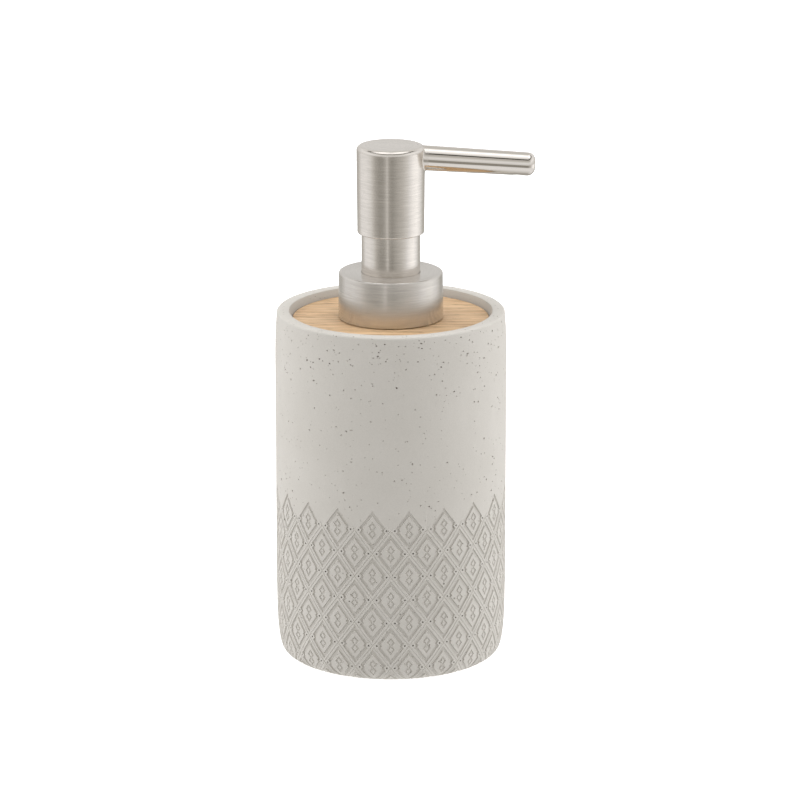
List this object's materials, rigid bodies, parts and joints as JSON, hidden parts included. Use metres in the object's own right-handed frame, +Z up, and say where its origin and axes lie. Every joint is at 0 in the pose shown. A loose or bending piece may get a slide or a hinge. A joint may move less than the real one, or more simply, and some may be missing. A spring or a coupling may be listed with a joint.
{
  "type": "soap pump dispenser",
  "caption": "Round refillable soap dispenser: cast stone bottle with a relief band, wooden shoulder disc, and a lotion pump with metal collar and side spout.",
  "frame": {"origin": "centre of the base face, on the surface the dispenser stands on", "axes": "+Z up along the bottle's and the pump's common axis; +X towards the tip of the spout; +Y completes the right-handed frame, away from the front view"},
  "size_m": [0.085, 0.076, 0.172],
  "materials": {
    "stone": "matte cast stone with fine pits and a shallow relief",
    "wood": "oiled, fine straight grain",
    "brushed_metal": "fine circumferential brushing, warm nickel tone",
    "neck_plastic": "moulded, satin",
    "pump_plastic": "moulded, satin",
    "tube_plastic": "milky translucent polyethylene",
    "gasket_foam": "soft white foamed liner",
    "pad_foam": "dark closed-cell foam",
    "spring_steel": "drawn stainless wire",
    "ball_steel": "polished stainless ball",
    "nozzle_plastic": "dark moulded"
  },
  "bodies": {
    "bottle": {"stone_body": "stone", "wood_disc": "wood", "neck_insert": "neck_plastic", "base_pad": "pad_foam"},
    "pump": {"closure_gasket": "gasket_foam", "pump_housing": "pump_plastic", "chaplet": "pump_plastic", "guide_sleeve": "brushed_metal", "dip_tube": "tube_plastic", "return_spring": "spring_steel"},
    "closure": {"collar_shell": "brushed_metal", "closure_nut": "pump_plastic"},
    "piston": {"piston": "pump_plastic"},
    "head": {"stem": "pump_plastic", "piston_seat": "pump_plastic", "head_core": "pump_plastic", "head_shell": "brushed_metal", "spout_liner": "tube_plastic", "outlet_nozzle": "nozzle_plastic"},
    "inlet_ball": {"inlet_ball": "ball_steel"},
    "outlet_ball": {"outlet_ball": "ball_steel"}
  },
  "joints": [
    {"name": "pump_lift", "type": "slide", "parent": "bottle", "child": "pump", "axis": [0, 0, 1], "range_m": [0, 0.12]},
    {"name": "closure_unscrew", "type": "hinge", "parent": "pump", "child": "closure", "pos_m": [0, 0, 0.122], "axis": [0, 0, 1], "range_deg": [0, 540]},
    {"name": "head_press", "type": "slide", "parent": "pump", "child": "piston", "axis": [0, 0, -1], "range_m": [0, 0.012], "stiffness_N_per_m": 800, "springref_m": -0.008, "deforming": ["return_spring"]},
    {"name": "spout_swivel", "type": "hinge", "parent": "piston", "child": "head", "pos_m": [0, 0, 0.15], "axis": [0, 0, 1], "continuous": true},
    {"name": "inlet_ball_lift", "type": "slide", "parent": "pump", "child": "inlet_ball", "axis": [0, 0, 1], "range_m": [0, 0.0015]},
    {"name": "outlet_ball_lift", "type": "slide", "parent": "head", "child": "outlet_ball", "axis": [0, 0, 1], "range_m": [0, 0.0015]}
  ]
}
